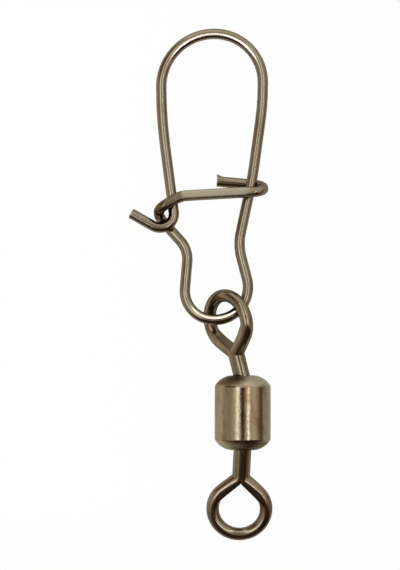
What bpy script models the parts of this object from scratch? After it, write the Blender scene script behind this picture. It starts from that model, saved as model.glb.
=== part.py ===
"""Fishing snap swivel: a turned barrel, two wire eyes that spin in its mouths, and a one-piece wire snap.

It lies on a flat surface, seen from above: +Y runs from the line eye to the snap's loop, +Z is up.
"""

from math import acos, asin, atan, atan2, ceil, cos, pi, radians, sin, sqrt, tan

import bmesh
import bpy
from mathutils import Matrix, Vector
from mathutils.geometry import intersect_point_line

MM = 0.001

# Barrel, a turned tube whose ends are rolled in to hold the heads of the eyes
BARREL_DIAMETER = 5.3 * MM
BARREL_LENGTH = 7.02 * MM
BARREL_STRAIGHT = 5.0 * MM
BARREL_WALL = 0.8 * MM
SHOULDER_RADIUS = 1.95 * MM
MOUTH_CLEARANCE = 0.09 * MM
MOUTH_EDGE_RADIUS = 0.12 * MM

# Eyes, each one bent wire whose two legs are pressed together into one shank and headed
EYE_WIRE = 1.2 * MM
EYE_SHANK_WIDTH = 1.68 * MM
EYE_SHANK_THICKNESS = 1.44 * MM
EYE_LOOP_RADIUS = 2.54 * MM
EYE_REACH = 5.81 * MM
EYE_FLARE = radians(46.0)
EYE_SIDE_RADIUS = 2.3 * MM
EYE_BEND_RADIUS = 0.62 * MM
EYE_FORMED_LENGTH = 1.7 * MM
LEG_GAP = 0.03 * MM
LEG_EDGE_RADIUS = 0.14 * MM
HEAD_RADIUS = 1.25 * MM
HEAD_SEAT = 0.4 * MM
HEAD_CONE = 0.65 * MM
HEAD_RIM = 0.25 * MM
HEAD_DOME = 0.55 * MM
MOST_LEAN = radians(14.5)

# How the loose eyes lie in the mouths
UPPER_EYE_LEAN = radians(14.0)
UPPER_EYE_TURN = radians(48.5)
UPPER_EYE_PUSHED_IN = 0.58 * MM
LOWER_EYE_LEAN = radians(2.8)

# Snap, one spring wire: places across (u) and along (v) its flat, from the lowest point of its bend
SNAP_WIRE = 1.0 * MM
LOOP_RADIUS = 4.82 * MM
LOOP_LEAN = 0.23 * MM
LOOP_MIDDLE = -0.2 * MM
LOOP_TOP = 27.25 * MM
LEFT_LEG_BEND = Vector((-5.01 * MM, 19.3 * MM))
LEFT_LEG_BEND_RADIUS = 42.0 * MM
RIGHT_LEG_BENDS = (Vector((4.63 * MM, 20.64 * MM)), Vector((3.65 * MM, 13.57 * MM)))
RIGHT_LEG_BEND_RADII = (24.0 * MM, 28.0 * MM)
HOOK_CORNER = Vector((-3.48 * MM, 7.58 * MM))
HOOK_RADIUS = 1.33 * MM
TAIL_TIP = Vector((-7.87 * MM, 10.07 * MM))
TAIL_RISE = 0.29 * MM
RIGHT_WAIST = Vector((2.27 * MM, 7.09 * MM))
RIGHT_WAIST_RADIUS = 5.1 * MM
LEFT_WAIST = Vector((-2.45 * MM, 6.7 * MM))
LEFT_WAIST_RADIUS = 2.74 * MM
BOTTOM_LEFT = -3.02 * MM
BOTTOM_LEFT_RADIUS = 2.77 * MM
BOTTOM_RIGHT = 4.11 * MM
BOTTOM_RIGHT_RADIUS = 3.12 * MM
CURL_LOW = Vector((-5.23 * MM, 9.82 * MM))
CURL_HIGH = Vector((-5.2 * MM, 10.47 * MM))
CURL_RADIUS = 0.95 * MM
BAR_START = Vector((-3.2 * MM, 11.63 * MM))
BAR_START_RADIUS = 2.84 * MM
BAR_END = Vector((4.62 * MM, 12.08 * MM))
RETURN_START = Vector((4.67 * MM, 12.86 * MM))
RETURN_END = Vector((0.27 * MM, 13.26 * MM))
U_BEND_RADIUS = 1.04 * MM
CROSSING_GAP = 0.095 * MM
BAR_PRESSED_THICKNESS = 0.88 * MM
BAR_PRESSED_WIDTH = 0.98 * MM
BAR_PRESSED_FROM = -4.9 * MM
BAR_PRESSED_TO = 3.9 * MM
BAR_PRESS_FADE = 1.2 * MM
BAR_ROLL = radians(13.0)
BAR_SQUARENESS = 3.0
BURR_HEIGHT = 0.2 * MM
BURR_REACH = 0.06 * MM
BURR_SHARPNESS = 5

# Where the snap hangs in the upper eye: how far round its bottom bend, how its swing axis dips below the
# snap's flat to pass squarely through the eye, and how far the place is from the eye's middle
LINK_ROUND_BEND = radians(18.0)
LINK_DIP = radians(20.0)
LINK_SIDE = -0.29 * MM
LINK_ALONG = 0.355 * MM

# Plated metals of the pieces, each a colour and a roughness
BARREL_METAL = ((0.28, 0.23, 0.16), 0.25)
UPPER_EYE_METAL = ((0.27, 0.22, 0.15), 0.25)
LOWER_EYE_METAL = ((0.28, 0.23, 0.16), 0.25)
SNAP_METAL = ((0.31, 0.26, 0.18), 0.2)

# Smoothness of the meshes
SHARP_ANGLE = radians(40.0)
ARC_STEP = radians(9.0)
BARREL_SIDES = 48
SNAP_ROUNDNESS = 4
LONGEST_EYE_STEP = 0.42 * MM
SHOULDER_STEPS = 6
LEG_ARC_STEPS = 8
LEG_CORNER_STEPS = 2
HEAD_STEPS = 3
MOUTH_EDGE_STEPS = 2
WELD = 0.001 * MM

EYE_RADIUS = EYE_WIRE / 2
SNAP_RADIUS = SNAP_WIRE / 2
BARREL_RADIUS = BARREL_DIAMETER / 2
SHANK_RADIUS = EYE_SHANK_WIDTH / 2
SHANK_FLATNESS = EYE_SHANK_THICKNESS / EYE_SHANK_WIDTH
LEG_MIDDLE = 4 * SHANK_RADIUS / (3 * pi)
BAR_DEPTH = SNAP_WIRE + CROSSING_GAP
MOUTH_RADIUS = SHANK_RADIUS / cos(MOST_LEAN) + BARREL_WALL / 2 * tan(MOST_LEAN) + MOUTH_CLEARANCE


def clear_scene():
    for thing in list(bpy.data.objects):
        bpy.data.objects.remove(thing, do_unlink=True)


def metal(name, colour, roughness):
    material = bpy.data.materials.new(name)
    material.use_nodes = True
    shader = material.node_tree.nodes["Principled BSDF"]
    shader.inputs["Base Color"].default_value = (*colour, 1.0)
    shader.inputs["Metallic"].default_value = 1.0
    shader.inputs["Roughness"].default_value = roughness
    return material


def add_object(name, mesh, collection, material, place):
    thing = bpy.data.objects.new(name, mesh)
    thing.matrix_world = place
    mesh.materials.clear()
    mesh.materials.append(material)
    mesh.shade_smooth()
    mesh.set_sharp_from_angle(angle=SHARP_ANGLE)
    collection.objects.link(thing)
    return thing


def round_corner(before, corner, after, radius):
    """Points of the arc that rounds a corner, from one straight run to the next."""
    way_in = (corner - before).normalized()
    way_out = (after - corner).normalized()
    turn = way_in.angle(way_out)
    setback = radius * tan(turn / 2)
    start = corner - way_in * setback
    inward = (way_out - way_in * way_in.dot(way_out)).normalized()
    centre = start + inward * radius
    steps = max(2, ceil(turn / ARC_STEP))
    angles = [turn * k / steps for k in range(steps + 1)]
    return [centre + way_in * (radius * sin(a)) - inward * (radius * cos(a)) for a in angles]


def bent_wire(start, corners, end):
    """Centre line of a wire that runs straight between corners, with each corner bent to its radius."""
    line = [start]
    stops = [start] + [corner for corner, radius in corners] + [end]
    for k, (corner, radius) in enumerate(corners):
        line += round_corner(stops[k], corner, stops[k + 2], radius)
    line.append(end)
    return [point for k, point in enumerate(line) if k == 0 or (point - line[k - 1]).length > WELD]


def arc_centre(first, second, radius):
    """Middle of the arc of a radius through two points of a profile, on the side of the turning axis."""
    half = (second - first) / 2
    height = sqrt(radius**2 - half.length_squared)
    return first + half + Vector((-half.y, half.x)).normalized() * height


def arc_points(centre, radius, start, end, steps):
    """Points round a centre in a plane, from one angle to another."""
    angles = [start + (end - start) * k / steps for k in range(steps + 1)]
    return [centre + Vector((radius * cos(a), radius * sin(a))) for a in angles]


def shoulder_profile():
    """One end's outer side, from its lip to the straight wall, and its inner side, from bore to lip."""
    lip = Vector((MOUTH_RADIUS + MOUTH_EDGE_RADIUS, BARREL_LENGTH / 2))
    crease = Vector((BARREL_RADIUS, BARREL_STRAIGHT / 2))
    centre = arc_centre(crease, lip, SHOULDER_RADIUS)
    to_lip = atan2(lip.y - centre.y, lip.x - centre.x)
    to_crease = atan2(crease.y - centre.y, crease.x - centre.x)
    outer = arc_points(centre, SHOULDER_RADIUS, to_lip, to_crease, SHOULDER_STEPS)
    inner_radius = SHOULDER_RADIUS - BARREL_WALL
    to_bore = acos((BARREL_RADIUS - BARREL_WALL - centre.x) / inner_radius)
    to_throat = acos((lip.x - centre.x) / inner_radius)
    inner = arc_points(centre, inner_radius, to_bore, to_throat, SHOULDER_STEPS)
    return outer, inner


def mouth_profile(outer_lip, inner_lip):
    """The bore of a mouth from the inside out, with a small round on each edge."""
    low = inner_lip + Vector((0, MOUTH_EDGE_RADIUS))
    top = outer_lip - Vector((0, MOUTH_EDGE_RADIUS))
    lower_round = arc_points(low, MOUTH_EDGE_RADIUS, 1.5 * pi, pi, MOUTH_EDGE_STEPS)
    upper_round = arc_points(top, MOUTH_EDGE_RADIUS, pi, pi / 2, MOUTH_EDGE_STEPS)
    return lower_round[1:] + upper_round[:-1]


def make_barrel(collection, material):
    outer, inner = shoulder_profile()
    upper_end = inner + mouth_profile(outer[0], inner[-1]) + outer
    lower_end = [Vector((p.x, -p.y)) for p in reversed(upper_end)]
    profile = upper_end + lower_end
    drawing = bpy.data.meshes.new("barrel_profile")
    edges = [(k, (k + 1) % len(profile)) for k in range(len(profile))]
    drawing.from_pydata([(p.x, 0.0, p.y) for p in profile], edges, [])
    turned = bpy.data.objects.new("barrel_profile", drawing)
    collection.objects.link(turned)
    screw = turned.modifiers.new("turning", "SCREW")
    screw.steps = BARREL_SIDES
    screw.render_steps = BARREL_SIDES
    screw.use_merge_vertices = True
    screw.merge_threshold = WELD
    place = Matrix.Translation((0, 0, BARREL_RADIUS)) @ Matrix.Rotation(-pi / 2, 4, "X")
    return add_object("barrel", closed_mesh(turned), collection, material, place)


def closed_mesh(drawn):
    """The mesh of a curve or of a profile with its modifier, welded closed; the drawing is dropped."""
    bpy.context.view_layer.update()
    evaluated = drawn.evaluated_get(bpy.context.evaluated_depsgraph_get())
    mesh = bpy.data.meshes.new_from_object(evaluated)
    bpy.data.objects.remove(drawn, do_unlink=True)
    shape = bmesh.new()
    shape.from_mesh(mesh)
    bmesh.ops.remove_doubles(shape, verts=shape.verts, dist=WELD)
    bmesh.ops.recalc_face_normals(shape, faces=shape.faces)
    shape.to_mesh(mesh)
    shape.free()
    return mesh


def side_and_neck():
    """Heights of the corners at a side of the loop and at the neck, where a leg leaves the shank."""
    side = EYE_REACH - EYE_SIDE_RADIUS * tan(EYE_FLARE / 2)
    return side, side - (EYE_LOOP_RADIUS - LEG_MIDDLE) / tan(EYE_FLARE)


def eye_centre_line():
    """Wire of an eye in its own plane: up one pressed leg, round the loop and down the other."""
    side, neck = side_and_neck()
    right = [
        (Vector((LEG_MIDDLE, neck, 0)), EYE_BEND_RADIUS),
        (Vector((EYE_LOOP_RADIUS, side, 0)), EYE_SIDE_RADIUS),
        (Vector((EYE_LOOP_RADIUS, EYE_REACH + EYE_LOOP_RADIUS, 0)), EYE_LOOP_RADIUS),
    ]
    left = [(mirrored(corner), radius) for corner, radius in reversed(right)]
    foot = Vector((LEG_MIDDLE, 0, 0))
    return in_steps(bent_wire(foot, right + left, mirrored(foot)), LONGEST_EYE_STEP)


def in_steps(line, longest):
    """The same line with more points, no further apart than the longest step."""
    points = [line[0]]
    for start, end in zip(line, line[1:]):
        count = ceil((end - start).length / longest)
        points += [start.lerp(end, k / count) for k in range(1, count + 1)]
    return points


def mirrored(point):
    return Vector((-point.x, point.y, point.z))


def half_round(radius):
    """Section of one leg, a half disc with rounded edges, as (outward, up) pairs from the slit."""
    edge = LEG_EDGE_RADIUS
    corner = Vector((LEG_GAP / 2 + edge, 0))
    corner.y = sqrt((radius - edge) ** 2 - corner.x**2)
    lower_corner = Vector((corner.x, -corner.y))
    to_corner = atan2(corner.y, corner.x)
    outside = arc_points(Vector((0, 0)), radius, -to_corner, to_corner, LEG_ARC_STEPS)
    upper = arc_points(corner, edge, to_corner, pi, LEG_CORNER_STEPS)
    lower = arc_points(lower_corner, edge, pi, 2 * pi - to_corner, LEG_CORNER_STEPS)
    slit_middle = Vector((LEG_GAP / 2, 0))
    return outside + upper[1:] + [slit_middle] + lower[:-1]


def full_round(count):
    """Section of the bare wire, with as many points as the pressed leg and the first at the same place."""
    first = -pi * LEG_ARC_STEPS / count
    angles = [first + 2 * pi * k / count for k in range(count)]
    return [Vector((EYE_RADIUS * cos(a), EYE_RADIUS * sin(a))) for a in angles]


def smooth_step(value):
    value = min(1.0, max(0.0, value))
    return value * value * (3 - 2 * value)


def head_stations():
    """Heights from the barrel's face, negative inside it, and the radius of the headed shank at each."""
    seat = -BARREL_WALL - HEAD_SEAT
    rim = seat - HEAD_CONE
    back = rim - HEAD_RIM
    angles = [pi / 2 * k / (HEAD_STEPS + 1) for k in range(HEAD_STEPS, 0, -1)]
    dome = [(back - HEAD_DOME * sin(a), HEAD_RADIUS - HEAD_DOME * (1 - cos(a))) for a in angles]
    return dome + [(back, HEAD_RADIUS), (rim, HEAD_RADIUS), (seat, SHANK_RADIUS)]


def head_rings():
    """Rings of the right half of the head, from its free end up to the flatter shank."""
    rings = []
    for height, radius in head_stations():
        flatness = 1.0 if radius > SHANK_RADIUS else SHANK_FLATNESS
        rings.append([Vector((p.x, height, p.y * flatness)) for p in half_round(radius)])
    return rings


def crotch_limit(height):
    """How far a leg's inner side may be from the slit: not at all up to the crotch, then as it flares."""
    past_shank = (EYE_RADIUS * cos(EYE_FLARE) - LEG_MIDDLE) / sin(EYE_FLARE)
    crotch = side_and_neck()[1] + EYE_RADIUS * sin(EYE_FLARE) + past_shank * cos(EYE_FLARE)
    return LEG_GAP / 2 + max(0.0, height - crotch) * tan(EYE_FLARE)


def fill_crotch(point, inward):
    """Press a point on the inner side of a leg out to the crotch's sides, as the die does."""
    limit = crotch_limit(point.y)
    if inward <= 0 or abs(point.x) <= limit:
        return point
    share = smooth_step(inward / LEG_MIDDLE)
    return point.lerp(Vector((limit if point.x > 0 else -limit, point.y, point.z)), share)


def wire_rings():
    """Rings along the wire, which start and end as pressed legs and are round in between."""
    line = eye_centre_line()
    up = Vector((0, 0, 1))
    leg = [Vector((p.x - LEG_MIDDLE, p.y * SHANK_FLATNESS)) for p in half_round(SHANK_RADIUS)]
    bare = full_round(len(leg))
    bend_start = side_and_neck()[1] - EYE_BEND_RADIUS * tan(EYE_FLARE / 2)
    rings = []
    for k, point in enumerate(line):
        along = (line[min(k + 1, len(line) - 1)] - line[max(k - 1, 0)]).normalized()
        out = Vector((along.y, -along.x, 0))
        share = smooth_step((point.y - bend_start) / EYE_FORMED_LENGTH)
        section = [flat_spot.lerp(round_spot, share) for flat_spot, round_spot in zip(leg, bare)]
        rings.append([fill_crotch(point + out * p.x + up * p.y, -p.x) for p in section])
    return rings


def loft(rings):
    """A closed body through rings of as many points each, with flat ends."""
    shape = bmesh.new()
    loops = [[shape.verts.new(point) for point in ring] for ring in rings]
    for lower, upper in zip(loops, loops[1:]):
        for k in range(len(lower)):
            after = (k + 1) % len(lower)
            shape.faces.new((lower[k], lower[after], upper[after], upper[k]))
    shape.faces.new(reversed(loops[0]))
    shape.faces.new(loops[-1])
    bmesh.ops.recalc_face_normals(shape, faces=shape.faces)
    mesh = bpy.data.meshes.new("loft")
    shape.to_mesh(mesh)
    shape.free()
    return mesh


def make_eye(name, collection, material, place):
    """One wire: half a head, a pressed leg, the loop, the other leg and the other half of the head."""
    right_head = head_rings()
    left_head = [[mirrored(p) for p in ring] for ring in reversed(right_head)]
    return add_object(name, loft(right_head + wire_rings() + left_head), collection, material, place)


def upper_eye_place():
    pivot = Vector((0, (BARREL_LENGTH - BARREL_WALL) / 2, BARREL_RADIUS))
    aim = Matrix.Rotation(UPPER_EYE_LEAN, 4, "Z") @ Matrix.Rotation(-UPPER_EYE_TURN, 4, "Y")
    out = BARREL_WALL / 2 - UPPER_EYE_PUSHED_IN
    return Matrix.Translation(pivot) @ aim @ Matrix.Translation((0, out, 0))


def lower_eye_place():
    """The line eye droops until the far side of its loop touches the surface."""
    pivot = Vector((0, -(BARREL_LENGTH - BARREL_WALL) / 2, BARREL_RADIUS))
    to_far_wire = BARREL_WALL / 2 + EYE_REACH + EYE_LOOP_RADIUS
    droop = asin((BARREL_RADIUS - EYE_RADIUS) / to_far_wire)
    aim = Matrix.Rotation(pi - LOWER_EYE_LEAN, 4, "Z") @ Matrix.Rotation(-droop, 4, "X")
    return Matrix.Translation(pivot) @ aim @ Matrix.Translation((0, BARREL_WALL / 2, 0))


def in_flat(point, height=0.0):
    """A point of the snap's flat (u, v), raised above it by a height (w)."""
    return Vector((point.x, point.y, height))


def snap_corners():
    """Corners of the snap's wire with their bend radii, from the tail round to the end of the return."""
    return [
        (in_flat(HOOK_CORNER, TAIL_RISE / 2), HOOK_RADIUS),
        (in_flat(LEFT_LEG_BEND), LEFT_LEG_BEND_RADIUS),
        (Vector((LOOP_MIDDLE - LOOP_RADIUS, LOOP_TOP, 0)), LOOP_RADIUS + LOOP_LEAN),
        (Vector((LOOP_MIDDLE + LOOP_RADIUS, LOOP_TOP, 0)), LOOP_RADIUS - LOOP_LEAN),
        (in_flat(RIGHT_LEG_BENDS[0]), RIGHT_LEG_BEND_RADII[0]),
        (in_flat(RIGHT_LEG_BENDS[1]), RIGHT_LEG_BEND_RADII[1]),
        (in_flat(RIGHT_WAIST), RIGHT_WAIST_RADIUS),
        (Vector((BOTTOM_RIGHT, 0, 0)), BOTTOM_RIGHT_RADIUS),
        (Vector((BOTTOM_LEFT, 0, 0)), BOTTOM_LEFT_RADIUS),
        (in_flat(LEFT_WAIST, -BAR_DEPTH / 2), LEFT_WAIST_RADIUS),
        (in_flat(CURL_LOW, -BAR_DEPTH), CURL_RADIUS),
        (in_flat(CURL_HIGH, BAR_DEPTH), CURL_RADIUS),
        (in_flat(BAR_START, BAR_DEPTH), BAR_START_RADIUS),
        (in_flat(BAR_END, BAR_DEPTH), U_BEND_RADIUS),
        (in_flat(RETURN_START, -BAR_DEPTH), U_BEND_RADIUS),
    ]


def snap_centre_line():
    tail = in_flat(TAIL_TIP, TAIL_RISE)
    return bent_wire(tail, snap_corners(), in_flat(RETURN_END, -BAR_DEPTH))


def link_point():
    """Point of the bottom bend that hangs in the eye."""
    waist = in_flat(RIGHT_WAIST)
    corner = Vector((BOTTOM_RIGHT, 0, 0))
    after = Vector((BOTTOM_LEFT, 0, 0))
    lowest = round_corner(waist, corner, after, BOTTOM_RIGHT_RADIUS)[-1]
    round_bend = Vector((sin(LINK_ROUND_BEND), 1 - cos(LINK_ROUND_BEND), 0)) * BOTTOM_RIGHT_RADIUS
    return lowest + round_bend


def pressed_spot(offset, across):
    """A point of the round section, moved onto the section pressed between plates, a squarish oval."""
    roll = Matrix.Rotation(BAR_ROLL, 3, "X")
    level = roll @ Vector((0, offset.dot(across), offset.z)) / SNAP_RADIUS
    swell = (abs(level.y) ** BAR_SQUARENESS + abs(level.z) ** BAR_SQUARENESS) ** (-1 / BAR_SQUARENESS)
    section = Vector((0, level.y * BAR_PRESSED_WIDTH, level.z * BAR_PRESSED_THICKNESS)) * swell / 2
    section.rotate(roll.inverted())
    along = offset - across * offset.dot(across)
    return Vector((along.x, along.y, section.z)) + across * section.y


def press_bar(mesh, line):
    """Flatten the crossbar, fading out towards its two bends."""
    bar = [point for point in line if point.z > BAR_DEPTH - WELD]
    for vertex in mesh.vertices:
        if vertex.co.z < BAR_DEPTH - SNAP_RADIUS - WELD:
            continue
        spot, way = nearest_on(bar, vertex.co)
        into_bar = min(spot.x - BAR_PRESSED_FROM, BAR_PRESSED_TO - spot.x)
        share = smooth_step(into_bar / BAR_PRESS_FADE)
        if share > 0:
            offset = vertex.co - spot
            vertex.co = spot + offset.lerp(pressed_spot(offset, Vector((-way.y, way.x, 0))), share)


def raise_burr(mesh, end):
    """The cutter dragged up a small burr on the outer corner of the return's end."""
    for vertex in mesh.vertices:
        offset = vertex.co - end
        if offset.length < SNAP_RADIUS + WELD:
            share = max(0.0, offset.y / SNAP_RADIUS) ** BURR_SHARPNESS
            vertex.co += Vector((-BURR_REACH, BURR_HEIGHT, 0)) * share


def nearest_on(line, point):
    """The spot on a line of corners that is nearest to a point, and the line's way there."""
    spots = []
    for start, end in zip(line, line[1:]):
        share = intersect_point_line(point, start, end)[1]
        spots.append((start.lerp(end, min(1.0, max(0.0, share))), (end - start).normalized()))
    return min(spots, key=lambda spot: (spot[0] - point).length)


def snap_place(link):
    """The snap lies with its loop's far end and its return's end on the surface, its link in the eye."""
    tilt = atan(BAR_DEPTH / (LOOP_TOP - RETURN_END.y))
    height = SNAP_RADIUS + (LOOP_TOP - link.y) * sin(tilt)
    middle = upper_eye_place() @ Vector((0, EYE_REACH, 0))
    spot = Vector((middle.x + LINK_SIDE, middle.y + LINK_ALONG, height))
    return Matrix.Translation(spot) @ Matrix.Rotation(-tilt, 4, "X")


def make_snap(collection, material):
    line = snap_centre_line()
    curve = bpy.data.curves.new("snap_wire", "CURVE")
    curve.dimensions = "3D"
    curve.bevel_depth = SNAP_RADIUS
    curve.bevel_resolution = SNAP_ROUNDNESS
    curve.use_fill_caps = True
    spline = curve.splines.new("POLY")
    spline.points.add(len(line) - 1)
    for spline_point, point in zip(spline.points, line):
        spline_point.co = (*point, 1.0)
    drawn = bpy.data.objects.new("snap_wire", curve)
    collection.objects.link(drawn)
    mesh = closed_mesh(drawn)
    press_bar(mesh, line)
    raise_burr(mesh, line[-1])
    link = link_point()
    to_axis = Matrix.Rotation(LINK_ROUND_BEND, 4, "Z") @ Matrix.Rotation(LINK_DIP, 4, "Y")
    mesh.transform((Matrix.Translation(link) @ to_axis).inverted())
    return add_object("snap", mesh, collection, material, snap_place(link) @ to_axis)


def centre_on_surface(things):
    """Move everything so that the origin is under the middle of the whole, on the surface it lies on."""
    corners = [thing.matrix_world @ vertex.co for thing in things for vertex in thing.data.vertices]
    low = Vector(min(corner[k] for corner in corners) for k in range(3))
    high = Vector(max(corner[k] for corner in corners) for k in range(3))
    shift = Matrix.Translation((-(low.x + high.x) / 2, -(low.y + high.y) / 2, -low.z))
    for thing in things:
        thing.matrix_world = shift @ thing.matrix_world


def main():
    clear_scene()
    collection = bpy.data.collections.new("snap_swivel")
    bpy.context.scene.collection.children.link(collection)
    barrel_metal = metal("barrel_metal", *BARREL_METAL)
    upper_metal = metal("upper_eye_metal", *UPPER_EYE_METAL)
    lower_metal = metal("lower_eye_metal", *LOWER_EYE_METAL)
    snap_metal = metal("snap_metal", *SNAP_METAL)
    barrel = make_barrel(collection, barrel_metal)
    upper_eye = make_eye("upper_eye", collection, upper_metal, upper_eye_place())
    lower_eye = make_eye("lower_eye", collection, lower_metal, lower_eye_place())
    snap = make_snap(collection, snap_metal)
    bpy.context.view_layer.update()
    centre_on_surface([barrel, upper_eye, lower_eye, snap])


main()
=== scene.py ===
# %% [markdown]
# # Fishing snap swivel
# A swivel keeps a fishing line from twisting. Its barrel is a short turned tube, and in each end spins a
# wire eye whose head is trapped inside. In one eye hangs the snap, a single spring wire that opens to
# take a lure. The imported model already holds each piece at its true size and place. This lesson gives
# the pieces their fine surfaces, finishes and light. It begins by loading that model as a fixed frame.

# %% Load the frame
from math import acos, asin, atan, atan2, ceil, cos, pi, radians, sin, sqrt, tan

import bmesh
import bpy
from mathutils import Matrix, Vector


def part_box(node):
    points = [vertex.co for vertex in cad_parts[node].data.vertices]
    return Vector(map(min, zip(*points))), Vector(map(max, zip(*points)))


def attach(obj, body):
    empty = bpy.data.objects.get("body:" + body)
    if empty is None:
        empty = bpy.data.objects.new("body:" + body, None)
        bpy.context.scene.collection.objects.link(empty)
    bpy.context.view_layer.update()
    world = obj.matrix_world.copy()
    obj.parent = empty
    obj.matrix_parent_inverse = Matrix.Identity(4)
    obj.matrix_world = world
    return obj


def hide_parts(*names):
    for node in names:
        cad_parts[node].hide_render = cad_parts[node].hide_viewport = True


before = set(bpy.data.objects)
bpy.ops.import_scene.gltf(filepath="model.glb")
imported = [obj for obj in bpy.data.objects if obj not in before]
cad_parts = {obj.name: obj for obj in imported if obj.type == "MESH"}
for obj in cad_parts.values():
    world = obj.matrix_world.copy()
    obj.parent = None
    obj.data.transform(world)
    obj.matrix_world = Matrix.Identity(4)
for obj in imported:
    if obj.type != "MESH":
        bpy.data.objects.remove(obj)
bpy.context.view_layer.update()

MM = 0.001

# %% [markdown]
# The pieces are drawn again here with many more facets, from the same sizes as the model, so that
# reflections run smoothly along the wire. The barrel lies along Y and everything is measured from its
# middle. The barrel's own box therefore says where all the pieces go, and nothing is fitted by eye.

# %% Sizes shared by the pieces
BARREL_DIAMETER = 5.3 * MM
BARREL_LENGTH = 7.02 * MM
BARREL_WALL = 0.8 * MM
EYE_WIRE = 1.2 * MM
EYE_SHANK_WIDTH = 1.68 * MM
EYE_SHANK_THICKNESS = 1.44 * MM
SNAP_WIRE = 1.0 * MM
MOST_LEAN = radians(14.5)

BARREL_RADIUS = BARREL_DIAMETER / 2
EYE_RADIUS = EYE_WIRE / 2
SHANK_RADIUS = EYE_SHANK_WIDTH / 2
SHANK_FLATNESS = EYE_SHANK_THICKNESS / EYE_SHANK_WIDTH
SNAP_RADIUS = SNAP_WIRE / 2

barrel_low, barrel_high = (Vector(corner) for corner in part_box("barrel"))
barrel_middle = (barrel_low + barrel_high) / 2
from_barrel = Matrix.Translation(barrel_middle - Vector((0, 0, BARREL_RADIUS)))
print("barrel middle, mm:", [round(value / MM, 2) for value in barrel_middle])

# %% [markdown]
# A wire former is told corners and bend radii, and that is the easiest way to draw a bent wire too.
# Each corner becomes an arc that touches both straight runs. A curve object with free handles could
# follow the same path, but arcs keep the look of wire that was bent round pins.

# %% Bent wire
WELD = 0.001 * MM
ARC_STEP = radians(3.0)


def round_corner(before, corner, after, radius):
    """Points of the arc that rounds a corner, from one straight run to the next."""
    way_in = (corner - before).normalized()
    way_out = (after - corner).normalized()
    turn = way_in.angle(way_out)
    start = corner - way_in * radius * tan(turn / 2)
    inward = (way_out - way_in * way_in.dot(way_out)).normalized()
    centre = start + inward * radius
    steps = max(2, ceil(turn / ARC_STEP))
    angles = [turn * k / steps for k in range(steps + 1)]
    return [centre + way_in * (radius * sin(a)) - inward * (radius * cos(a)) for a in angles]


def bent_wire(start, corners, end):
    """Centre line of a wire that runs straight from corner to corner, each corner bent to its radius."""
    line = [start]
    stops = [start] + [corner for corner, radius in corners] + [end]
    for k, (corner, radius) in enumerate(corners):
        line += round_corner(stops[k], corner, stops[k + 2], radius)
    line.append(end)
    return [point for k, point in enumerate(line) if k == 0 or (point - line[k - 1]).length > WELD]


def in_steps(line, longest):
    """The same line with more points, no further apart than the longest step."""
    points = [line[0]]
    for start, end in zip(line, line[1:]):
        count = ceil((end - start).length / longest)
        points += [start.lerp(end, k / count) for k in range(1, count + 1)]
    return points


square_bend = bent_wire(Vector((0, 0, 0)), [(Vector((1, 0, 0)), 0.5)], Vector((1, 1, 0)))
print("a square bend takes", len(square_bend), "points")

# %% [markdown]
# Four small helpers come up again and again: points on an arc, an eased step between two states, the way
# a line runs at one of its points, and the length of wire up to each point. That length is worth
# having, because it says where a spot on the bent wire was when the wire was still straight.

# %% Arcs, easing and lengths
def arc_points(centre, radius, start, end, steps):
    """Points round a centre in a plane, from one angle to another."""
    angles = [start + (end - start) * k / steps for k in range(steps + 1)]
    return [centre + Vector((radius * cos(a), radius * sin(a))) for a in angles]


def smooth_step(value):
    value = min(1.0, max(0.0, value))
    return value * value * (3 - 2 * value)


def way_at(line, k):
    """The way a line runs at one of its points."""
    return (line[min(k + 1, len(line) - 1)] - line[max(k - 1, 0)]).normalized()


def distances(line):
    """Length of the wire up to each point of its centre line, in millimetres."""
    total = [0.0]
    for a, b in zip(line, line[1:]):
        total.append(total[-1] + (b - a).length / MM)
    return total


print("length of the square bend:", round(distances(square_bend)[-1] * MM, 3))

# %% [markdown]
# All three wires become meshes in the same way: rings of points along the wire, joined by faces. Each
# point also remembers its place on the straight wire, in an attribute. The finish uses it to run the
# drawing lines along the wire, round every bend. A UV map would do this too, but it would show a seam
# where the map closes. More attributes mark the parts that were sheared, pressed or dulled, and where
# painted shade darkens the curl.

# %% Rings into a mesh
def wire_mesh(name, rings, straight, marks):
    """A closed body through rings, with places on the unbent wire and named marks for each ring."""
    shape = bmesh.new()
    drawn = shape.verts.layers.float_vector.new("drawn")
    marks = marks | {"cut": [1.0] + [0.0] * (len(rings) - 2) + [1.0]}
    layers = {mark: shape.verts.layers.float.new(mark) for mark in marks}
    loops = []
    for k, ring in enumerate(rings):
        loops.append([shape.verts.new(point) for point in ring])
        for vertex, place in zip(loops[-1], straight[k]):
            vertex[drawn] = place
            for mark, layer in layers.items():
                vertex[layer] = marks[mark][k]
    for lower, upper in zip(loops, loops[1:]):
        for k in range(len(lower)):
            after = (k + 1) % len(lower)
            shape.faces.new((lower[k], lower[after], upper[after], upper[k]))
    shape.faces.new(reversed(loops[0]))
    shape.faces.new(loops[-1])
    bmesh.ops.recalc_face_normals(shape, faces=shape.faces)
    mesh = bpy.data.meshes.new(name)
    shape.to_mesh(mesh)
    shape.free()
    return mesh


print("rings become meshes that remember the straight wire")

# %% [markdown]
# Each finished piece is put at its place, rides on its body and stands for the plainer node of the
# model. Only the edges sharper than a set angle stay sharp, which keeps the crease of the barrel and the
# slit of a shank crisp while the rest is shaded smoothly. Splitting the mesh there would do the same,
# but it would leave the piece open.

# %% Add a piece
SHARP_ANGLE = radians(38.0)


def add_piece(name, mesh, place, body, node):
    """Put a piece at its place, let it ride on its body and stand for its node."""
    mesh.transform(from_barrel @ place)
    mesh.shade_smooth()
    mesh.set_sharp_from_angle(angle=SHARP_ANGLE)
    piece = bpy.data.objects.new(name, mesh)
    bpy.context.scene.collection.objects.link(piece)
    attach(piece, body)
    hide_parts(node)
    print(name, len(mesh.polygons), "faces")
    return piece


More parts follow.
